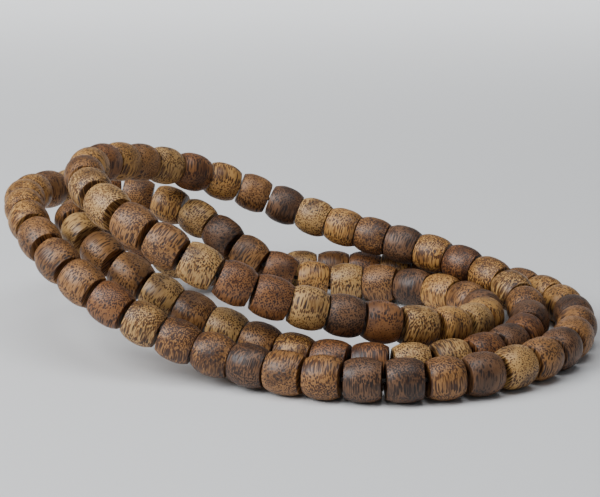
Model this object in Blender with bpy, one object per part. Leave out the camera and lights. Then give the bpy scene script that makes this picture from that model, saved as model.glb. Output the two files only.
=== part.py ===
"""A mala: 108 turned wooden beads strung tight on an elastic cord, lying in three open loops.

The frame is in metres with +Z up. The origin is under the middle of the strand's box, on the
surface that the strand lies on, and +X runs along the longer side of the loops. The cord is one
closed ring. The beads are numbered along it, from the raised left end of the outer loop round
its front.
"""
import math

import bmesh
import bpy
import numpy as np
from mathutils import Matrix, Vector

MM = 0.001

# Driving dimensions of a bead, the cord and its knot.
BEAD_COUNT = 108
BEAD_DIAMETER = 8.0 * MM
BEAD_LENGTH = 6.3 * MM
BEAD_BELLY_LENGTH = 2.0 * MM
BEAD_SHOULDER_DIAMETER = 7.0 * MM
BEAD_SHOULDER_LENGTH = 4.4 * MM
BEAD_FACE_DIAMETER = 5.7 * MM
RUN_NECK_DIAMETER = 4.8 * MM
BORE_DIAMETER = 1.3 * MM
CORD_DIAMETER = 0.8 * MM
KNOT_DIAMETER = 2.2 * MM
KNOT_LENGTH = 1.6 * MM
KNOT_END_DIAMETER = 1.5 * MM
KNOT_POCKET_DIAMETER = 3.0 * MM
KNOT_POCKET_DEPTH = 2.6 * MM

# Fineness of the solids. A ring of flat sides has the same area as the circle that it stands for.
BEAD_SIDES = 12
RING_SCALE = math.sqrt(2 * math.pi / (BEAD_SIDES * math.sin(2 * math.pi / BEAD_SIDES)))
CURVE_STEPS = 24
SLACK_TOLERANCE = 1e-9
CORD_BEVEL_RESOLUTION = 2
SHARP_ANGLE = math.radians(32.0)

# The cord's route in millimetres, seen from above: three loops, wound from the outside in and
# back. The lowest points are where the beads lie on the surface; on the left the loops climb.
ROUTE = (
    # The outer loop: the raised left side, the front, then the right side.
    (-53.5, 18, 24.5), (-53, 5.5, 25), (-48.5, -8, 22.5), (-40, -18, 17),
    (-29, -23.5, 11), (-16.5, -26.5, 6), (-3, -32, 4), (10.5, -36, 4),
    (24.5, -35.5, 4), (37.5, -30, 4), (48, -19.5, 4), (53.5, -6, 4),
    (53, 8.5, 4), (46, 21.5, 4),
    # Along the back on the surface, then up inside the outer loop.
    (34, 30, 4), (20, 33, 4), (6.5, 34.5, 4), (-7.5, 34, 4),
    (-21.5, 30.5, 5.5), (-33, 25, 13),
    # The middle loop: the left side, the front, then the right side, climbing at the back.
    (-41.5, 16, 20), (-43, 2, 22.5), (-35, -10, 18.5), (-23.5, -15, 12),
    (-10.5, -19, 6.5), (2, -24.5, 4), (15.5, -28, 4), (29.5, -25, 4),
    (40, -15.5, 4), (45, -2, 4.5), (42.5, 12, 6.5), (32.5, 22.5, 9),
    # Over the other strands at the back, up to the highest loop.
    (20.5, 28.5, 11.5), (8, 33.5, 14), (-4.5, 37.5, 18), (-18, 36.5, 23.5),
    (-29, 29.5, 28),
    # The inner loop: the left side, the front, then the right side.
    (-36.5, 18, 31), (-40.5, 4.5, 32.5), (-37.5, -10, 31), (-28, -19.5, 26.5),
    (-15.5, -23.5, 20), (-3, -23.5, 14.5), (10.5, -22.5, 11), (24, -19, 8),
    (34, -9.5, 6), (36.5, 4.5, 4.5), (29.5, 16.5, 4),
    # Inside the back strand, then over it and up to the start of the outer loop.
    (17, 23.5, 4), (3, 25, 4), (-10, 26.5, 9), (-20.5, 32.5, 15.5),
    (-33.5, 37, 19.5), (-47, 32, 22.5),
)

# The beads that turn on their own, as numbers along the cord. The others are joined into runs.
TURNING_BEADS = (range(1, 28), range(42, 51), range(61, 67), range(75, 82), range(102, 103))
JOINED_RUNS = (range(28, 35), range(35, 42), range(51, 61), range(67, 75),
               range(82, 90), range(90, 96), range(96, 102), range(103, 109))
KNOT_BEAD = 102

# Colours as linear red, green and blue.
WOOD_SHADES = {
    "gold": (0.30, 0.14, 0.04),
    "tan": (0.29, 0.15, 0.05),
    "brown": (0.17, 0.07, 0.02),
    "red": (0.13, 0.048, 0.015),
    "dark": (0.08, 0.034, 0.014),
}
# The shade of each bead along the cord, by the first letter of its name.
BEAD_SHADES = (
    "ggggbbbrtb" "bdbbddbdtb" "dbbdggb"      # the outer loop
    "tbdgrbtdgbtrbd"                          # along the back
    "bbtbbtbtbg" "rrttrdrdbt" "grgdb"        # the middle loop
    "gtdbgrtb"                                # over the back
    "grgbttbbtr" "rtdrtttgdb" "g"            # the inner loop
    "dbtgrbdtgbrtb"                           # across to the outer loop
)
CORD_COLOUR = (0.03, 0.02, 0.015)
WOOD_ROUGHNESS = 0.45
CORD_ROUGHNESS = 0.7


def clear_scene():
    """Remove the objects that the scene starts with."""
    for item in list(bpy.data.objects):
        bpy.data.objects.remove(item, do_unlink=True)


def material(name, colour, roughness):
    """A plain non-metallic material."""
    made = bpy.data.materials.new(name)
    made.use_nodes = True
    shader = made.node_tree.nodes["Principled BSDF"]
    shader.inputs["Base Color"].default_value = (*colour, 1.0)
    shader.inputs["Roughness"].default_value = roughness
    shader.inputs["Metallic"].default_value = 0.0
    made.diffuse_color = (*colour, 1.0)
    return made


def closed_curve(points, steps):
    """Points along the smooth closed curve that runs through the given points."""
    unit = np.eye(len(points))
    neighbours = 4 * unit + np.roll(unit, 1, axis=0) + np.roll(unit, -1, axis=0)
    following = np.roll(points, -1, axis=0)
    slopes = np.linalg.solve(neighbours, 3 * (following - np.roll(points, 1, axis=0)))
    curve = []
    for start, end, leaving, arriving in zip(points, following, slopes, np.roll(slopes, -1, axis=0)):
        for step in range(steps):
            t = step / steps
            curve.append((2 * t ** 3 - 3 * t ** 2 + 1) * start + (3 * t ** 2 - 2 * t ** 3) * end
                         + (t ** 3 - 2 * t ** 2 + t) * leaving + (t ** 3 - t ** 2) * arriving)
    curve = np.array(curve)
    curve[:, 2] = np.maximum(curve[:, 2], points[:, 2].min())
    return curve


def turn_along(curve, reach):
    """The angle between the chords behind and ahead of each point, each reach points long."""
    behind = curve - np.roll(curve, reach, axis=0)
    ahead = np.roll(curve, -reach, axis=0) - curve
    cosine = (behind * ahead).sum(axis=1)
    cosine /= np.linalg.norm(behind, axis=1) * np.linalg.norm(ahead, axis=1)
    return np.arccos(np.clip(cosine, -1.0, 1.0))


def gaps_along(curve):
    """The points after each bead, with more cord between the beads where it bends."""
    steps = np.linalg.norm(np.roll(curve, -1, axis=0) - curve, axis=1)
    bend = turn_along(curve, round(BEAD_LENGTH / steps.mean()))
    pitch = BEAD_LENGTH + BEAD_FACE_DIAMETER * np.tan(bend / 2)
    low, high = -BEAD_LENGTH / 2, BEAD_LENGTH
    while high - low > SLACK_TOLERANCE:
        slack = (low + high) / 2
        if np.sum(steps / (pitch + slack)) > BEAD_COUNT:
            low = slack
        else:
            high = slack
    passed = np.concatenate(([0.0], np.cumsum(steps / (pitch + slack))))
    closed = np.vstack((curve, curve[:1]))
    wanted = np.arange(BEAD_COUNT) + 0.5
    return np.stack([np.interp(wanted, passed, closed[:, axis]) for axis in range(3)], axis=1)


def frame_of(start, end):
    """A frame on the line from start to end: the middle, the level side, the top and the axis."""
    axis = (end - start) / np.linalg.norm(end - start)
    side = np.cross((0.0, 0.0, 1.0), axis)
    side /= np.linalg.norm(side)
    return (start + end) / 2, side, np.cross(axis, side), axis


def ring(frame, along, radius):
    """The corners of a ring round a frame's axis, with a flat side at its bottom."""
    middle, side, top, axis = frame
    corners = []
    for corner in range(BEAD_SIDES):
        angle = 2 * math.pi * (corner + 0.5) / BEAD_SIDES
        corners.append(middle + along * axis
                       + RING_SCALE * radius * (math.cos(angle) * side + math.sin(angle) * top))
    return corners


def strand():
    """The point after each bead and each bead's frame, moved to the strand's own origin."""
    curve = closed_curve(np.array(ROUTE, dtype=float) * MM, CURVE_STEPS)
    gaps = gaps_along(curve)
    frames = [frame_of(gaps[bead - 1], gaps[bead]) for bead in range(BEAD_COUNT)]
    edges = [corner for frame in frames for along, radius in bead_outside()
             for corner in ring(frame, along, radius)]
    lowest, highest = np.min(edges, axis=0), np.max(edges, axis=0)
    origin = np.array(((lowest[0] + highest[0]) / 2, (lowest[1] + highest[1]) / 2, lowest[2]))
    frames = [(middle - origin, side, top, axis) for middle, side, top, axis in frames]
    return gaps - origin, frames


def skin(name, rings):
    """A closed mesh over rings of corners, each joined to the next and the last to the first."""
    mesh = bpy.data.meshes.new(name)
    work = bmesh.new()
    corners = [[work.verts.new(point) for point in points] for points in rings]
    for near, far in zip(corners, corners[1:] + corners[:1]):
        for corner in range(len(near)):
            following = (corner + 1) % len(near)
            work.faces.new((near[corner], near[following], far[following], far[corner]))
    bmesh.ops.recalc_face_normals(work, faces=work.faces)
    work.to_mesh(mesh)
    work.free()
    mesh.shade_smooth()
    mesh.set_sharp_from_angle(angle=SHARP_ANGLE)
    return mesh


def lathe(name, profile):
    """A turned piece round its own Z axis, from a closed profile of heights and radii."""
    own = (np.zeros(3), np.array((1.0, 0.0, 0.0)), np.array((0.0, 1.0, 0.0)),
           np.array((0.0, 0.0, 1.0)))
    return skin(name, [ring(own, along, radius) for along, radius in profile])


def place(name, mesh, look, location, frame=None):
    """One named object with its own mesh place and material."""
    made = bpy.data.objects.new(name, mesh)
    bpy.context.collection.objects.link(made)
    if not mesh.materials:
        mesh.materials.append(None)
    made.material_slots[0].link = "OBJECT"
    made.material_slots[0].material = look
    made.location = Vector(location)
    if frame is not None:
        columns = Matrix((frame[1], frame[2], frame[3])).transposed()
        made.rotation_euler = columns.to_euler()
    return made


def bead_outside():
    """A barrel bead's outer profile, as heights and radii from its far face to its near face."""
    half = [(BEAD_LENGTH / 2, BEAD_FACE_DIAMETER / 2),
            (BEAD_SHOULDER_LENGTH / 2, BEAD_SHOULDER_DIAMETER / 2),
            (BEAD_BELLY_LENGTH / 2, BEAD_DIAMETER / 2)]
    return half + [(-along, radius) for along, radius in reversed(half)]


def bead_mesh():
    """A turned bead with a straight bore."""
    bore = [(-0.5 * BEAD_LENGTH, BORE_DIAMETER / 2), (0.5 * BEAD_LENGTH, BORE_DIAMETER / 2)]
    return lathe("bead", bead_outside() + bore)


def knot_bead_mesh():
    """A turned bead with a pocket at one end of its bore, where the cord's knot sits."""
    floor = 0.5 * BEAD_LENGTH - KNOT_POCKET_DEPTH
    bore = [(-0.5 * BEAD_LENGTH, BORE_DIAMETER / 2), (floor, BORE_DIAMETER / 2),
            (floor, KNOT_POCKET_DIAMETER / 2), (0.5 * BEAD_LENGTH, KNOT_POCKET_DIAMETER / 2)]
    return lathe("knot_bead", bead_outside() + bore)


def knot_mesh():
    """The knot as a round lump with the cord's two ends passing through it."""
    return lathe("knot", [(0.5 * KNOT_LENGTH, KNOT_END_DIAMETER / 2),
                          (0.25 * KNOT_LENGTH, KNOT_DIAMETER / 2),
                          (-0.25 * KNOT_LENGTH, KNOT_DIAMETER / 2),
                          (-0.5 * KNOT_LENGTH, KNOT_END_DIAMETER / 2),
                          (-0.5 * KNOT_LENGTH, BORE_DIAMETER / 2),
                          (0.5 * KNOT_LENGTH, BORE_DIAMETER / 2)])


def run_mesh(name, numbers, gaps, frames, origin):
    """A run of neighbouring beads, each joined to the next at a neck and bored right through."""
    far_face, *body, near_face = bead_outside()
    first, last = frames[numbers[0] - 1], frames[numbers[-1] - 1]
    outside = [ring(first, *near_face)]
    inside = [ring(first, -0.5 * BEAD_LENGTH, BORE_DIAMETER / 2)]
    for number in numbers:
        outside += [ring(frames[number - 1], along, radius) for along, radius in reversed(body)]
        if number != numbers[-1]:
            middle, following = frames[number - 1][0], frames[number][0]
            neck = (gaps[number - 1],) + frame_of(middle, following)[1:]
            outside.append(ring(neck, 0.0, RUN_NECK_DIAMETER / 2))
            inside.append(ring(neck, 0.0, BORE_DIAMETER / 2))
    outside.append(ring(last, *far_face))
    inside.append(ring(last, 0.5 * BEAD_LENGTH, BORE_DIAMETER / 2))
    rings = outside + inside[::-1]
    return skin(name, [[corner - origin for corner in corners] for corners in rings])


def cord(gaps, look):
    """The elastic cord: a closed round tube that runs straight through each bead."""
    curve = bpy.data.curves.new("cord", "CURVE")
    curve.dimensions = "3D"
    curve.bevel_depth = CORD_DIAMETER / 2
    curve.bevel_resolution = CORD_BEVEL_RESOLUTION
    spline = curve.splines.new("POLY")
    spline.points.add(len(gaps) - 1)
    for point, gap in zip(spline.points, gaps):
        point.co = (*gap, 1.0)
    spline.use_cyclic_u = True
    curve.materials.append(look)
    made = bpy.data.objects.new("cord", curve)
    bpy.context.collection.objects.link(made)
    return made


def main():
    """Build the strand: the cord and its knot, the turning beads, then the joined runs."""
    clear_scene()
    gaps, frames = strand()
    woods = {name[0]: material("wood_" + name, colour, WOOD_ROUGHNESS)
             for name, colour in WOOD_SHADES.items()}
    elastic = material("elastic_cord", CORD_COLOUR, CORD_ROUGHNESS)

    cord(gaps, elastic)
    knot_frame = frames[KNOT_BEAD - 1]
    pocket_middle = 0.5 * (BEAD_LENGTH - KNOT_POCKET_DEPTH)
    place("cord_knot", knot_mesh(), elastic, knot_frame[0] + pocket_middle * knot_frame[3],
          knot_frame)

    plain, pocketed = bead_mesh(), knot_bead_mesh()
    for numbers in TURNING_BEADS:
        for number in numbers:
            frame = frames[number - 1]
            shape = pocketed if number == KNOT_BEAD else plain
            place(f"bead_{number:03d}", shape, woods[BEAD_SHADES[number - 1]], frame[0], frame)

    for numbers in JOINED_RUNS:
        name = f"beads_{numbers[0]:03d}_{numbers[-1]:03d}"
        origin = frames[numbers[0] - 1][0]
        mesh = run_mesh(name, numbers, gaps, frames, origin)
        place(name, mesh, woods[BEAD_SHADES[numbers[0] - 1]], origin)


main()
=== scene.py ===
# The looks of a mala: 108 turned barrel beads of striped, open-pored wood on a dark elastic cord.
# Each bead is a piece of its own, cut from its own place in a block of wood.
# Metres, +Z up, in the frame of the CAD.

import math
import random

import bpy
import numpy as np
from mathutils import Matrix, Vector


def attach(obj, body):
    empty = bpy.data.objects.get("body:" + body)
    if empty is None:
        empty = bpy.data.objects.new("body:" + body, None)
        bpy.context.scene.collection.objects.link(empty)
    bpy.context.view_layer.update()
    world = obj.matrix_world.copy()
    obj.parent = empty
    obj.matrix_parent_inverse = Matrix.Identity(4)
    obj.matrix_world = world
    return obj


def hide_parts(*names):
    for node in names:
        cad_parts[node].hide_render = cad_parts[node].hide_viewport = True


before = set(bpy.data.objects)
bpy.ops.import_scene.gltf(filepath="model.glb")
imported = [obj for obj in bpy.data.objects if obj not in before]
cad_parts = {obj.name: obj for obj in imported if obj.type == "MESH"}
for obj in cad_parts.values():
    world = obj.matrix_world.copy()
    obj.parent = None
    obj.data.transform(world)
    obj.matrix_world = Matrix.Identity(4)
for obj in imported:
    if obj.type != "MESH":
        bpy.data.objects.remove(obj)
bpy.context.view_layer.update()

MM = 0.001

# ---------------------------------------------------------------- sizes, as in the CAD
BEAD_COUNT = 108
BEAD_DIAMETER = 8.0 * MM
BEAD_LENGTH = 6.3 * MM
BEAD_BELLY_LENGTH = 2.0 * MM
BEAD_SHOULDER_DIAMETER = 7.0 * MM
BEAD_SHOULDER_LENGTH = 4.4 * MM
BEAD_FACE_DIAMETER = 5.7 * MM
BEAD_SIDES = 12
RING_SCALE = math.sqrt(2 * math.pi / (BEAD_SIDES * math.sin(2 * math.pi / BEAD_SIDES)))
BORE_DIAMETER = 1.3 * MM
CORD_DIAMETER = 0.8 * MM
KNOT_POCKET_DIAMETER = 3.0 * MM
KNOT_POCKET_DEPTH = 2.6 * MM
KNOT_BEAD = 102
CURVE_STEPS = 24
SLACK_TOLERANCE = 1e-9

# The cord's route in millimetres, the same points as in the CAD.
ROUTE = (
    (-53.5, 18, 24.5), (-53, 5.5, 25), (-48.5, -8, 22.5), (-40, -18, 17),
    (-29, -23.5, 11), (-16.5, -26.5, 6), (-3, -32, 4), (10.5, -36, 4),
    (24.5, -35.5, 4), (37.5, -30, 4), (48, -19.5, 4), (53.5, -6, 4),
    (53, 8.5, 4), (46, 21.5, 4),
    (34, 30, 4), (20, 33, 4), (6.5, 34.5, 4), (-7.5, 34, 4),
    (-21.5, 30.5, 5.5), (-33, 25, 13),
    (-41.5, 16, 20), (-43, 2, 22.5), (-35, -10, 18.5), (-23.5, -15, 12),
    (-10.5, -19, 6.5), (2, -24.5, 4), (15.5, -28, 4), (29.5, -25, 4),
    (40, -15.5, 4), (45, -2, 4.5), (42.5, 12, 6.5), (32.5, 22.5, 9),
    (20.5, 28.5, 11.5), (8, 33.5, 14), (-4.5, 37.5, 18), (-18, 36.5, 23.5),
    (-29, 29.5, 28),
    (-36.5, 18, 31), (-40.5, 4.5, 32.5), (-37.5, -10, 31), (-28, -19.5, 26.5),
    (-15.5, -23.5, 20), (-3, -23.5, 14.5), (10.5, -22.5, 11), (24, -19, 8),
    (34, -9.5, 6), (36.5, 4.5, 4.5), (29.5, 16.5, 4),
    (17, 23.5, 4), (3, 25, 4), (-10, 26.5, 9), (-20.5, 32.5, 15.5),
    (-33.5, 37, 19.5), (-47, 32, 22.5),
)

# ---------------------------------------------------------------- the beads' own characters
# One letter for each bead along the cord, for its kind of wood in SLOTS below.
SHADES = (
    "ggggbbbrtb" "bdbbddbdtb" "dbbdggb"      # outer loop
    "tbdgrbtdgbtrbd"                          # along the back
    "bbtbbtbtbg" "rrttrdrdbt" "grgdb"        # middle loop
    "gtdbgrtb"                                # over the back
    "grgbttbbtr" "rtdrtgtgdb" "g"            # inner loop
    "dbtgrbdtgbrtb"                           # across to the outer loop
)
# One hexadecimal digit for each bead: the way that its fibres run across the bore, in sixteenths
# of a turn.
FIBRE_STEPS = 16
FIBRES = (
    "3453533545" "53124444654" "563454"
    "5b2e06d9153fc4"
    "4421534454" "5261453645b" "2c51"
    "48c2e5b9"
    "3454564156" "6361545c15" "4"
    "5b3e9d07c1a64"
)
# One digit for each bead: how light it is within its shade of wood, from 0 to 9 with 5 in the middle.
# The digits are partly the wood's own lightness and partly painted light and painted shade: beads
# that lie in shade under other strands, such as 44 to 49, are made paler as painted light, and beads
# such as the front beads 9 to 17 and the right end of the middle loop are made darker as painted shade.
MIDDLE_TONE = 5
TONE_STEP = 0.07
TONES_AND_PAINTED_LIGHT = (
    "4414554410" "0042323947" "5545555"
    "55555555555555"
    "5599896950" "1155343500" "00041"
    "55555555"
    "5555043364" "5649389895" "5"
    "5555555555555"
)

WOOD_SEED = 108
LATHE_SEED = 27
rng = random.Random(WOOD_SEED)
lathe_rng = random.Random(LATHE_SEED)


# ---------------------------------------------------------------- the strand, as in the CAD
def closed_curve(points, steps):
    """Points along the smooth closed curve that runs through the given points."""
    unit = np.eye(len(points))
    neighbours = 4 * unit + np.roll(unit, 1, axis=0) + np.roll(unit, -1, axis=0)
    following = np.roll(points, -1, axis=0)
    slopes = np.linalg.solve(neighbours, 3 * (following - np.roll(points, 1, axis=0)))
    curve = []
    for start, end, leaving, arriving in zip(points, following, slopes, np.roll(slopes, -1, axis=0)):
        for step in range(steps):
            t = step / steps
            curve.append((2 * t ** 3 - 3 * t ** 2 + 1) * start + (3 * t ** 2 - 2 * t ** 3) * end
                         + (t ** 3 - 2 * t ** 2 + t) * leaving + (t ** 3 - t ** 2) * arriving)
    curve = np.array(curve)
    curve[:, 2] = np.maximum(curve[:, 2], points[:, 2].min())
    return curve


def turn_along(curve, reach):
    """The angle between the chords behind and ahead of each point, each reach points long."""
    behind = curve - np.roll(curve, reach, axis=0)
    ahead = np.roll(curve, -reach, axis=0) - curve
    cosine = (behind * ahead).sum(axis=1)
    cosine /= np.linalg.norm(behind, axis=1) * np.linalg.norm(ahead, axis=1)
    return np.arccos(np.clip(cosine, -1.0, 1.0))


def gaps_along(curve):
    """The points after each bead, with more cord between the beads where it bends."""
    steps = np.linalg.norm(np.roll(curve, -1, axis=0) - curve, axis=1)
    bend = turn_along(curve, round(BEAD_LENGTH / steps.mean()))
    pitch = BEAD_LENGTH + BEAD_FACE_DIAMETER * np.tan(bend / 2)
    low, high = -BEAD_LENGTH / 2, BEAD_LENGTH
    while high - low > SLACK_TOLERANCE:
        slack = (low + high) / 2
        if np.sum(steps / (pitch + slack)) > BEAD_COUNT:
            low = slack
        else:
            high = slack
    passed = np.concatenate(([0.0], np.cumsum(steps / (pitch + slack))))
    closed = np.vstack((curve, curve[:1]))
    wanted = np.arange(BEAD_COUNT) + 0.5
    return np.stack([np.interp(wanted, passed, closed[:, axis]) for axis in range(3)], axis=1)


def frame_of(start, end):
    """A frame on the line from start to end: the middle, the level side, the top and the axis."""
    axis = (end - start) / np.linalg.norm(end - start)
    side = np.cross((0.0, 0.0, 1.0), axis)
    side /= np.linalg.norm(side)
    return (start + end) / 2, side, np.cross(axis, side), axis


def ring(place, along, radius):
    """The corners of the CAD bead's ring round a frame's axis, with a flat side at its bottom."""
    middle, side, top, axis = place
    angles = 2 * math.pi * (np.arange(BEAD_SIDES) + 0.5) / BEAD_SIDES
    return (middle + along * axis + RING_SCALE * radius * np.cos(angles)[:, None] * side
            + RING_SCALE * radius * np.sin(angles)[:, None] * top)


def strand():
    """The point after each bead and each bead's frame, in the CAD's own frame."""
    curve = closed_curve(np.array(ROUTE, dtype=float) * MM, CURVE_STEPS)
    gaps = gaps_along(curve)
    places = [frame_of(gaps[bead - 1], gaps[bead]) for bead in range(BEAD_COUNT)]
    edges = []
    for place in places:
        for half in (-0.5, 0.5):
            edges.append(ring(place, half * BEAD_LENGTH, BEAD_FACE_DIAMETER / 2))
            edges.append(ring(place, half * BEAD_SHOULDER_LENGTH, BEAD_SHOULDER_DIAMETER / 2))
            edges.append(ring(place, half * BEAD_BELLY_LENGTH, BEAD_DIAMETER / 2))
    edges = np.concatenate(edges)
    lowest, highest = edges.min(axis=0), edges.max(axis=0)
    origin = np.array(((lowest[0] + highest[0]) / 2, (lowest[1] + highest[1]) / 2, lowest[2]))
    places = [(middle - origin, side, top, axis) for middle, side, top, axis in places]
    return gaps - origin, places


gaps, places = strand()

# ---------------------------------------------------------------- camera, floor and lights
SENSOR_WIDTH = 36.0
LENS = 97.4
CAMERA_PLACE = (0.0005, -0.3012, 0.0990)
CAMERA_DOWN = math.radians(15.13)
CAMERA_NEAREST = 0.01

# The floor runs back, bends up and rises as a backdrop.
FLOOR_DEPTH = 1.2
FLOOR_RISE = 1.2
FLOOR_HALF_WIDTH = 2.4
FLOOR_BEND = 0.5
FLOOR_BEND_STEPS = 12
PAPER_COLOUR = (0.72, 0.71, 0.695)
PAPER_ROUGHNESS = 0.85
SKY_COLOUR = (0.80, 0.86, 0.95)
SKY_STRENGTH = 0.20

# Each light: its name, place, target, width, height, power and the width of its beam.
DAYLIGHT = (0.93, 0.96, 1.0)
LIGHTS = (
    ("key", (-0.44, -0.24, 0.42), (0.0, 0.0, 0.01), 0.44, 0.40, 5.7, math.pi),
    ("top", (0.04, -0.14, 0.68), (0.0, 0.0, 0.01), 0.50, 0.34, 2.3, math.pi),
    ("far", (0.0, 0.72, 0.70), (0.0, 0.66, 0.0), 1.60, 0.50, 5.0, math.radians(70.0)),
)


def solid(colour):
    """A colour with full opacity."""
    return (*colour, 1.0)


def add_object(name, data):
    """A new object in the scene, with its mesh, light or camera."""
    thing = bpy.data.objects.new(name, data)
    bpy.context.scene.collection.objects.link(thing)
    return thing


def add_camera():
    """A long lens in front of the strand, looking a little down at it."""
    data = bpy.data.cameras.new("camera")
    data.sensor_width = SENSOR_WIDTH
    data.sensor_fit = "HORIZONTAL"
    data.lens = LENS
    data.clip_start = CAMERA_NEAREST
    camera = add_object("camera", data)
    camera.location = CAMERA_PLACE
    camera.rotation_euler = (math.pi / 2 - CAMERA_DOWN, 0.0, 0.0)
    bpy.context.scene.camera = camera


def add_area(name, place, target, width, height, power, spread):
    """A soft rectangular light at a place, turned towards a target."""
    data = bpy.data.lights.new(name, "AREA")
    data.shape = "RECTANGLE"
    data.size = width
    data.size_y = height
    data.energy = power
    data.color = DAYLIGHT
    data.spread = spread
    light = add_object(name, data)
    light.location = place
    aim = Vector(target) - Vector(place)
    light.rotation_euler = aim.to_track_quat("-Z", "Y").to_euler()


def add_studio():
    """A pale floor that rises into a backdrop, a dim sky and the lights."""
    level = FLOOR_DEPTH - FLOOR_BEND
    outline = [(-FLOOR_DEPTH, 0.0), (level, 0.0)]
    for step in range(1, FLOOR_BEND_STEPS + 1):
        angle = math.pi / 2 * step / FLOOR_BEND_STEPS
        outline.append((level + FLOOR_BEND * math.sin(angle), FLOOR_BEND - FLOOR_BEND * math.cos(angle)))
    outline.append((FLOOR_DEPTH, FLOOR_RISE))
    corners = [(x, y, z) for y, z in outline for x in (-FLOOR_HALF_WIDTH, FLOOR_HALF_WIDTH)]
    faces = [(2 * n, 2 * n + 1, 2 * n + 3, 2 * n + 2) for n in range(len(outline) - 1)]
    mesh = bpy.data.meshes.new("floor")
    mesh.from_pydata(corners, [], faces)
    mesh.shade_smooth()
    floor = add_object("floor", mesh)
    paper = bpy.data.materials.new("paper")
    paper.use_nodes = True
    shader = paper.node_tree.nodes["Principled BSDF"]
    shader.inputs["Base Color"].default_value = solid(PAPER_COLOUR)
    shader.inputs["Roughness"].default_value = PAPER_ROUGHNESS
    mesh.materials.append(paper)

    world = bpy.data.worlds.new("studio")
    world.use_nodes = True
    background = world.node_tree.nodes["Background"]
    background.inputs["Color"].default_value = solid(SKY_COLOUR)
    background.inputs["Strength"].default_value = SKY_STRENGTH
    bpy.context.scene.world = world

    for light in LIGHTS:
        add_area(*light)


# ---------------------------------------------------------------- materials
# Each shade of the wood, as linear colours: its darkest fibres and its body, then its palest fibres
# and its pores.
WOODS = {
    "wood_gold": ((0.066, 0.023, 0.005), (0.222, 0.091, 0.020),
                  (0.440, 0.228, 0.062), (0.022, 0.009, 0.004)),
    "wood_tan": ((0.065, 0.025, 0.007), (0.218, 0.099, 0.027),
                 (0.440, 0.256, 0.088), (0.024, 0.010, 0.005)),
    "wood_brown": ((0.044, 0.015, 0.005), (0.136, 0.053, 0.014),
                   (0.285, 0.134, 0.042), (0.015, 0.006, 0.003)),
    "wood_red": ((0.034, 0.011, 0.004), (0.108, 0.037, 0.011),
                 (0.230, 0.094, 0.029), (0.012, 0.005, 0.003)),
    "wood_dark": ((0.024, 0.010, 0.005), (0.068, 0.029, 0.012),
                  (0.158, 0.073, 0.031), (0.009, 0.004, 0.003)),
}
SLOTS = {"g": "wood_gold", "t": "wood_tan", "b": "wood_brown", "r": "wood_red", "d": "wood_dark"}

# How fine each part of the grain is, per millimetre: twice across the fibres, then along them.
# WANDER_REACH is how far the grain wanders, in millimetres.
WANDER_SCALE = (0.30, 0.30, 0.16)
PATCH_SCALE = (0.20, 0.20, 0.09)
LAYER_SCALE = (0.60, 0.28, 0.04)
STREAK_SCALE = (3.9, 3.6, 0.22)
FIBRE_SCALE = (7.0, 7.0, 0.9)
BUNDLE_SCALE = (2.6, 2.6, 0.28)
PORE_SCALE = (1.25, 1.25, 0.22)
WANDER_REACH = (0.70, 0.70, 0.0)
FIBRE_ROUGHNESS = 0.6

# The dots of the bundles and pores: their reach, what the layers or patches add to it, and their edge.
DOT_SCATTER = 0.64
BUNDLE_REACH, BUNDLE_GROWTH, BUNDLE_BLUR = 0.18, 0.24, 0.14
PORE_REACH, PORE_GROWTH, PORE_BLUR = -0.08, 0.50, 0.12

# How light the wood is at a point: a base, and what each part of the grain adds to it.
BASE_LIGHT = 0.45
LINE_LIGHT = 0.88
BUNDLE_LIGHT = -1.35
FIBRE_LIGHT = 0.60
LAYER_LIGHT = 1.3
RIM_LIGHT = -0.20

# Where the streaks, body, palest fibres and dark patches begin and are full, and how strong they are.
LINE_RANGE = (0.38, 0.60)
BODY_RANGE = (0.0, 0.50)
PALE_RANGE = (0.42, 0.95)
PATCH_RANGE = (0.50, 0.66)
PATCH_STRENGTH = 0.55
PORE_STRENGTH = 0.85

# The oiled surface: its roughness and its relief, and what each part of the grain adds to them.
WOOD_ROUGHNESS, BUNDLE_ROUGHNESS, LINE_ROUGHNESS = 0.41, 0.12, 0.08
LINE_HEIGHT, BUNDLE_HEIGHT, PORE_HEIGHT = 0.3, -0.5, -0.8
WOOD_RELIEF = 0.035 * MM
WOOD_RELIEF_STRENGTH = 0.7
WOOD_SPECULAR = 0.46

# The elastic's sheath.
SHEATH_DARK = (0.012, 0.009, 0.007)
SHEATH_PALE = (0.040, 0.030, 0.022)
SHEATH_DETAIL = 3.0
SHEATH_RANGE = (0.3, 0.7)
SHEATH_ROUGHNESS, YARN_ROUGHNESS = 0.55, 0.3
SHEATH_RELIEF = 0.02 * MM
SHEATH_RELIEF_STRENGTH = 0.5
SHEATH_SHEEN = 0.3

# The sockets of the colour mix node.
MIX_SHARE, MIX_FIRST, MIX_SECOND, MIX_RESULT = 0, 6, 7, 2


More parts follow.
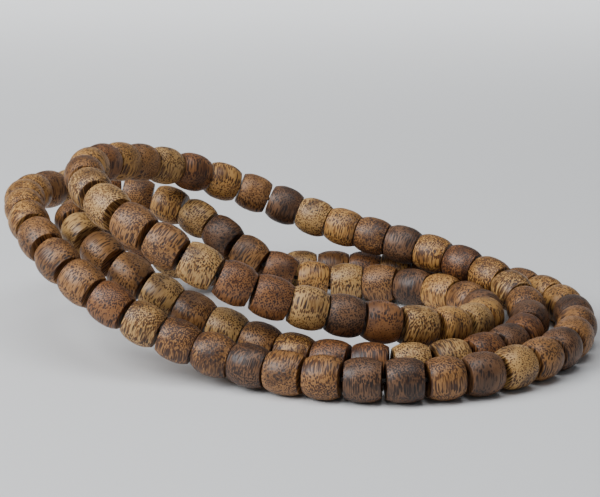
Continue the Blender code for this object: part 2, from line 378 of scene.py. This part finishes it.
class Graph:
    """A material's nodes, added one by one and joined by their sockets."""

    def __init__(self, name):
        self.material = bpy.data.materials.new(name)
        self.material.use_nodes = True
        self.nodes = self.material.node_tree.nodes
        self.links = self.material.node_tree.links
        self.shader = self.nodes["Principled BSDF"]

    def add(self, kind, **inputs):
        """A node of a kind, with inputs that are values or other nodes' outputs."""
        node = self.nodes.new(kind)
        for name, value in inputs.items():
            self.put(node.inputs[name], value)
        return node

    def put(self, socket, value):
        """Feed a socket with a value or with another socket."""
        if isinstance(value, bpy.types.NodeSocket):
            self.links.new(value, socket)
        else:
            socket.default_value = value

    def math(self, operation, *values, clamp=False):
        """One sum of numbers."""
        node = self.nodes.new("ShaderNodeMath")
        node.operation = operation
        node.use_clamp = clamp
        for socket, value in zip(node.inputs, values):
            self.put(socket, value)
        return node.outputs[0]

    def plus(self, base, value, weight, clamp=False):
        """A base with a weighted value added."""
        return self.math("MULTIPLY_ADD", value, weight, base, clamp=clamp)

    def mix(self, share, first, second):
        """Two colours mixed by a share."""
        node = self.nodes.new("ShaderNodeMix")
        node.data_type = "RGBA"
        self.put(node.inputs[MIX_SHARE], share)
        self.put(node.inputs[MIX_FIRST], first)
        self.put(node.inputs[MIX_SECOND], second)
        return node.outputs[MIX_RESULT]

    def vector(self, operation, first, second):
        """One sum of vectors."""
        node = self.nodes.new("ShaderNodeVectorMath")
        node.operation = operation
        self.put(node.inputs[0], first)
        self.put(node.inputs[1], second)
        return node.outputs[0]

    def scaled(self, vector, scale):
        """A vector with each part scaled."""
        return self.vector("MULTIPLY", vector, scale)

    def attribute(self, name, output):
        """One of the mesh's own attributes."""
        node = self.nodes.new("ShaderNodeAttribute")
        node.attribute_name = name
        return node.outputs[output]

    def noise(self, vector, detail=1.0, roughness=0.5):
        """A node of soft noise of about one unit's size."""
        return self.add("ShaderNodeTexNoise", Vector=vector, Scale=1.0, Detail=detail, Roughness=roughness)

    def ramp(self, value, low, high):
        """A value spread from 0 at low to 1 at high."""
        node = self.add("ShaderNodeMapRange", Value=value)
        node.interpolation_type = "SMOOTHSTEP"
        node.inputs["From Min"].default_value = low
        node.inputs["From Max"].default_value = high
        return node.outputs[0]

    def dots(self, vector, reach, blur):
        """Soft dots scattered about a unit apart, each with a reach and a blurred edge."""
        cells = self.add("ShaderNodeTexVoronoi", Vector=vector, Scale=1.0, Randomness=DOT_SCATTER)
        beyond = self.math("SUBTRACT", cells.outputs["Distance"], reach)
        return self.math("SUBTRACT", 1.0, self.ramp(beyond, 0.0, blur))

    def relief(self, height, distance, strength):
        """Small bumps on the surface, as deep as a distance where the height is one."""
        bump = self.add("ShaderNodeBump", Strength=strength, Distance=distance, Height=height)
        self.put(self.shader.inputs["Normal"], bump.outputs[0])


def wood_material(name):
    """Striped open-pored wood. Its grain attribute is in millimetres, with the fibres along Z."""
    dark, body, pale, pore = WOODS[name]
    graph = Graph(name)
    grain = graph.attribute("grain", "Vector")
    # Each bead's lightness: its wood's own, with painted light and painted shade on some beads.
    tone_and_painted_light = graph.attribute("tone_and_painted_light", "Fac")
    rim = graph.attribute("rim", "Fac")

    # The grain wanders a little as it runs.
    wander = graph.noise(graph.scaled(grain, WANDER_SCALE)).outputs["Color"]
    grain = graph.vector("ADD", grain, graph.scaled(wander, WANDER_REACH))

    patches = graph.noise(graph.scaled(grain, PATCH_SCALE)).outputs["Fac"]
    layers = graph.noise(graph.scaled(grain, LAYER_SCALE)).outputs["Fac"]
    streaks = graph.noise(graph.scaled(grain, STREAK_SCALE)).outputs["Fac"]
    fibres = graph.noise(graph.scaled(grain, FIBRE_SCALE), roughness=FIBRE_ROUGHNESS).outputs["Fac"]
    lines = graph.ramp(streaks, *LINE_RANGE)

    # Bundles of dark fibre and open pores: long dashes along the grain, round dots across it.
    reach = graph.plus(BUNDLE_REACH, layers, BUNDLE_GROWTH)
    bundles = graph.dots(graph.scaled(grain, BUNDLE_SCALE), reach, BUNDLE_BLUR)
    reach = graph.plus(PORE_REACH, patches, PORE_GROWTH)
    pores = graph.dots(graph.scaled(grain, PORE_SCALE), reach, PORE_BLUR)

    # The bead's listed lightness, partly the wood's own and partly painted light and painted shade, sets
    # where the colour starts.
    light = graph.plus(graph.math("ADD", tone_and_painted_light, BASE_LIGHT), lines, LINE_LIGHT)
    light = graph.plus(light, bundles, BUNDLE_LIGHT)
    light = graph.plus(light, graph.math("SUBTRACT", fibres, 0.5), FIBRE_LIGHT)
    light = graph.plus(light, graph.math("SUBTRACT", layers, 0.5), LAYER_LIGHT)
    light = graph.plus(light, rim, RIM_LIGHT, clamp=True)
    patched = graph.math("MULTIPLY", graph.ramp(patches, *PATCH_RANGE), PATCH_STRENGTH)
    colour = graph.mix(graph.ramp(light, *BODY_RANGE), solid(dark), solid(body))
    colour = graph.mix(graph.ramp(light, *PALE_RANGE), colour, solid(pale))
    colour = graph.mix(patched, colour, solid(dark))
    colour = graph.mix(graph.math("MULTIPLY", pores, PORE_STRENGTH), colour, solid(pore))
    graph.put(graph.shader.inputs["Base Color"], colour)

    rough = graph.plus(WOOD_ROUGHNESS, bundles, BUNDLE_ROUGHNESS)
    graph.put(graph.shader.inputs["Roughness"], graph.plus(rough, lines, LINE_ROUGHNESS))
    graph.shader.inputs["Specular IOR Level"].default_value = WOOD_SPECULAR

    height = graph.plus(graph.math("MULTIPLY", lines, LINE_HEIGHT), bundles, BUNDLE_HEIGHT)
    height = graph.plus(height, pores, PORE_HEIGHT)
    graph.relief(height, WOOD_RELIEF, WOOD_RELIEF_STRENGTH)
    return graph.material


def cord_material():
    """The elastic's dark woven sheath."""
    graph = Graph("elastic")
    yarns = graph.noise(graph.attribute("weave", "Vector"), detail=SHEATH_DETAIL).outputs["Fac"]
    colour = graph.mix(graph.ramp(yarns, *SHEATH_RANGE), solid(SHEATH_DARK), solid(SHEATH_PALE))
    graph.put(graph.shader.inputs["Base Color"], colour)
    graph.put(graph.shader.inputs["Roughness"], graph.plus(SHEATH_ROUGHNESS, yarns, YARN_ROUGHNESS))
    graph.shader.inputs["Sheen Weight"].default_value = SHEATH_SHEEN
    graph.relief(yarns, SHEATH_RELIEF, SHEATH_RELIEF_STRENGTH)
    return graph.material


# ---------------------------------------------------------------- the beads
ROUND_SIDES = 44
CROWN_STEPS = 14
EDGE_STEPS = 4
EDGE_RADIUS = 0.17 * MM
EDGE_DEPTHS = (0.60 * MM, 0.82 * MM)
BELLY_RADII = (3.86 * MM, 3.96 * MM)
CROWN_POWER = 2.6
BORE_LIP = 0.18 * MM
BEAD_HALF_LENGTHS = (3.16 * MM, 3.42 * MM)
SPARE = 0.02 * MM
SHARP_ANGLE = math.radians(50.0)

# The waves that put a bead's side out of round: their sizes in millimetres, how many there are round
# the bead, where they start, and how they lean along it. The bore stays round.
WAVES = 4
WAVE_SIZES = (0.004, 0.016)
WAVE_COUNTS = (2, 3, 4, 5)
WAVE_STARTS = (0, 6.28)
WAVE_LEANS = (-0.5, 0.5)
ROUND_WITHIN = 2.0 * MM

# How far a bead's wood strays from its listed fibre direction and lightness, and how far apart the beads'
# places in the block of wood are, in millimetres.
TURN_PLAY = 0.15
TILT_PLAY = 0.12
TONE_PLAY = 0.03
BLOCK_REACH = 400

# The darker rims: from this share of the bead's half length outwards, and all within this share of
# its end's radius.
RIM_START = 0.86
RIM_WITHIN = 0.93

# For each bead: how far the barrel's side falls from its middle to its end, and its radius.
edge_depths = [lathe_rng.uniform(*EDGE_DEPTHS) for _ in range(BEAD_COUNT)]
belly_radii = [lathe_rng.uniform(*BELLY_RADII) for _ in range(BEAD_COUNT)]


def side_radius(number, share):
    """A barrel's radius at a share of the way from its middle to its end."""
    return belly_radii[number - 1] - edge_depths[number - 1] * abs(share) ** CROWN_POWER


def bead_profile(number, low, high):
    """A turned bead's outline as (height, radius), up its bore, then down its crowned side."""
    bore = BORE_DIAMETER / 2
    outline = [(-low + BORE_LIP, bore)]
    if number == KNOT_BEAD:
        floor, wide = BEAD_LENGTH / 2 - KNOT_POCKET_DEPTH, KNOT_POCKET_DIAMETER / 2
        outline += [(floor, bore), (floor, wide), (high - BORE_LIP, wide), (high, wide + BORE_LIP)]
    else:
        outline += [(0.0, bore), (high - BORE_LIP, bore), (high, bore + BORE_LIP)]
    rim = side_radius(number, 1.0)
    edge = []
    for step in range(EDGE_STEPS + 1):
        angle = math.pi / 2 * step / EDGE_STEPS
        edge.append((EDGE_RADIUS * (1 - math.cos(angle)), rim - EDGE_RADIUS * (1 - math.sin(angle))))
    outline += [(high - inward, radius) for inward, radius in edge]
    top, bottom = high - EDGE_RADIUS, -low + EDGE_RADIUS
    for step in range(1, CROWN_STEPS):
        height = top + (bottom - top) * step / CROWN_STEPS
        outline.append((height, side_radius(number, height / (top if height > 0 else bottom))))
    outline += [(-low + inward, radius) for inward, radius in reversed(edge)]
    outline.append((-low, bore + BORE_LIP))
    return outline


def bead_skin(name, outline):
    """The bead's corners and its mesh, very slightly out of round."""
    waves = []
    for _ in range(WAVES):
        size = rng.uniform(*WAVE_SIZES) * MM
        waves.append((size, rng.choice(WAVE_COUNTS), rng.uniform(*WAVE_STARTS), rng.uniform(*WAVE_LEANS)))
    corners, faces = [], []
    for height, radius in outline:
        for side in range(ROUND_SIDES):
            angle = 2 * math.pi * side / ROUND_SIDES
            lump = sum(size * math.cos(count * angle + start + lean * height / MM)
                       for size, count, start, lean in waves)
            grown = radius + (lump if radius > ROUND_WITHIN else 0.0)
            corners.append((grown * math.cos(angle), grown * math.sin(angle), height))
    rows = len(outline)
    for row in range(rows):
        near, far = row * ROUND_SIDES, (row + 1) % rows * ROUND_SIDES
        for side in range(ROUND_SIDES):
            following = (side + 1) % ROUND_SIDES
            faces.append((near + side, far + side, far + following, near + following))
    mesh = bpy.data.meshes.new(name)
    mesh.from_pydata(corners, [], faces)
    mesh.shade_smooth()
    mesh.set_sharp_from_angle(angle=SHARP_ANGLE)
    return np.array(corners), mesh


def bead_mesh(name, outline, number):
    """The bead's skin, with each point's place in the wood, its lightness (partly painted light and painted
    shade) and how near it is to a rim.
    """
    corners, mesh = bead_skin(name, outline)
    turn = 2 * math.pi * int(FIBRES[number - 1], FIBRE_STEPS) / FIBRE_STEPS
    turn += rng.uniform(-TURN_PLAY, TURN_PLAY)
    fibre = Vector((math.cos(turn), math.sin(turn), rng.uniform(-TILT_PLAY, TILT_PLAY))).normalized()
    layer = fibre.orthogonal().normalized()
    layer.rotate(Matrix.Rotation(rng.uniform(0, 2 * math.pi), 3, fibre))
    block = np.array((layer, fibre.cross(layer), fibre))
    offset = np.array([rng.uniform(-BLOCK_REACH, BLOCK_REACH) for _ in range(3)])
    grain = corners / MM @ block.T + offset
    mesh.attributes.new("grain", "FLOAT_VECTOR", "POINT").data.foreach_set("vector", grain.ravel())

    # The listed lightness is partly the wood's own and partly painted light and painted shade; the small
    # random stray is the wood's own.
    tone_and_painted_light = (int(TONES_AND_PAINTED_LIGHT[number - 1]) - MIDDLE_TONE) * TONE_STEP + rng.uniform(-TONE_PLAY, TONE_PLAY)
    tones_and_painted_light = np.full(len(corners), tone_and_painted_light)
    mesh.attributes.new("tone_and_painted_light", "FLOAT", "POINT").data.foreach_set("value", tones_and_painted_light)

    reach = np.abs(corners[:, 2]) / max(height for height, _ in outline)
    wide = np.hypot(corners[:, 0], corners[:, 1]) / side_radius(number, 1.0)
    rim = np.where(wide < RIM_WITHIN, 1.0, np.clip((reach - RIM_START) / (1 - RIM_START), 0.0, 1.0))
    mesh.attributes.new("rim", "FLOAT", "POINT").data.foreach_set("value", rim)
    return mesh


def room_for(number):
    """How far a bead may reach down and up from its middle before its rims meet its neighbours."""
    middle, _, _, axis = places[number - 1]
    rim = side_radius(number, 1.0) - EDGE_RADIUS
    room = []
    before = gaps[number - 2], places[number - 2]
    after = gaps[number - 1], places[number % BEAD_COUNT]
    for gap, neighbour in (before, after):
        bend = math.acos(min(1.0, float(axis @ neighbour[3])))
        room.append(float(np.linalg.norm(gap - middle)) - rim * math.tan(bend / 2) - SPARE)
    return room


def add_bead(number, woods, nodes_of_runs):
    """One bead, in its place on the cord, riding with its own body or with the cord."""
    length = rng.uniform(*BEAD_HALF_LENGTHS)
    low, high = (min(room, length) for room in room_for(number))
    name = f"turned_bead_{number:03d}"
    mesh = bead_mesh(name, bead_profile(number, low, high), number)
    slot = SLOTS[SHADES[number - 1]]
    mesh.materials.append(woods[slot])
    bead = add_object(name, mesh)
    middle, side, top, axis = places[number - 1]
    bead.matrix_world = Matrix.Translation(Vector(middle)) @ Matrix((side, top, axis)).transposed().to_4x4()
    node = f"bead_{number:03d}"
    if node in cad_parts:
        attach(bead, node)
        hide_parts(node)
    else:
        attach(bead, "root")
        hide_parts(nodes_of_runs[number])


def runs_by_bead():
    """For each bead that the CAD joins into a run, the run's node."""
    found = {}
    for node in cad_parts:
        if node.startswith("beads_"):
            first, last = (int(part) for part in node.split("_")[1:])
            found.update({number: node for number in range(first, last + 1)})
    return found


# ---------------------------------------------------------------- the cord and its knot
# A yarn's turn is the length in which it winds once round.
CORD_SIDES = 18
CORD_STATIONS = 5
CORD_YARNS = 6
CORD_YARN_TURN = 4 * MM
KNOT_WIDTH = 0.24 * MM
KNOT_RISE = 0.45 * MM
KNOT_STEPS = 72
KNOT_RADIUS = 0.26 * MM
KNOT_SIDES = 12
KNOT_YARNS = 3
KNOT_YARN_TURN = 3 * MM

# How deep the valleys between the yarns are, as a share of the cord's radius, and how fine the weave
# is round the cord and per millimetre along it.
YARN_DEPTH = 0.05
WEAVE_ROUND = 6
WEAVE_ALONG = 4


def tube(name, path, radius, sides, yarns, yarn_turn):
    """A closed tube along a path, with yarns that wind round it, and its place in the weave."""
    twist = 2 * math.pi * yarns / yarn_turn
    count = len(path)
    corners, faces, weave = [], [], []
    distance = 0.0
    for index, point in enumerate(path):
        _, side, top, _ = frame_of(path[index - 1], path[(index + 1) % count])
        distance += float(np.linalg.norm(point - path[index - 1])) if index else 0.0
        for corner in range(sides):
            angle = 2 * math.pi * corner / sides
            reach = radius * (1 - YARN_DEPTH * (1 - math.cos(yarns * angle + twist * distance)))
            corners.append(point + reach * (math.cos(angle) * side + math.sin(angle) * top))
            weave.append((WEAVE_ROUND * math.cos(angle), WEAVE_ROUND * math.sin(angle),
                          WEAVE_ALONG * distance / MM))
    for row in range(count):
        near, far = row * sides, (row + 1) % count * sides
        for corner in range(sides):
            following = (corner + 1) % sides
            faces.append((near + corner, near + following, far + following, far + corner))
    mesh = bpy.data.meshes.new(name)
    mesh.from_pydata([tuple(corner) for corner in corners], [], faces)
    mesh.shade_smooth()
    weave = np.array(weave).ravel()
    mesh.attributes.new("weave", "FLOAT_VECTOR", "POINT").data.foreach_set("vector", weave)
    return mesh


def add_cord(look):
    """The whole cord, straight through each bead."""
    path = []
    for index, gap in enumerate(gaps):
        following = gaps[(index + 1) % BEAD_COUNT]
        for station in range(CORD_STATIONS):
            path.append(gap + (following - gap) * (station / CORD_STATIONS))
    mesh = tube("elastic_cord", path, CORD_DIAMETER / 2, CORD_SIDES, CORD_YARNS, CORD_YARN_TURN)
    mesh.materials.append(look)
    cord = add_object("elastic_cord", mesh)
    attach(cord, "root")
    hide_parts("cord")


def add_knot(look):
    """The overhand knot, drawn tight into the pocket of its bead."""
    middle, side, top, axis = places[KNOT_BEAD - 1]
    centre = middle + (BEAD_LENGTH - KNOT_POCKET_DEPTH) / 2 * axis
    path = []
    for step in range(KNOT_STEPS):
        t = 2 * math.pi * step / KNOT_STEPS
        across = KNOT_WIDTH * (math.sin(t) + 2 * math.sin(2 * t))
        up = KNOT_WIDTH * (math.cos(t) - 2 * math.cos(2 * t))
        along = -KNOT_RISE * math.sin(3 * t)
        path.append(centre + across * side + up * top + along * axis)
    mesh = tube("tied_knot", path, KNOT_RADIUS, KNOT_SIDES, KNOT_YARNS, KNOT_YARN_TURN)
    mesh.materials.append(look)
    knot = add_object("tied_knot", mesh)
    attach(knot, "root")
    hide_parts("cord_knot")


# ---------------------------------------------------------------- everything together
add_camera()
add_studio()
elastic = cord_material()
add_cord(elastic)
add_knot(elastic)
wood_looks = {name: wood_material(name) for name in WOODS}
run_nodes = runs_by_bead()
for bead_number in range(1, BEAD_COUNT + 1):
    add_bead(bead_number, wood_looks, run_nodes)
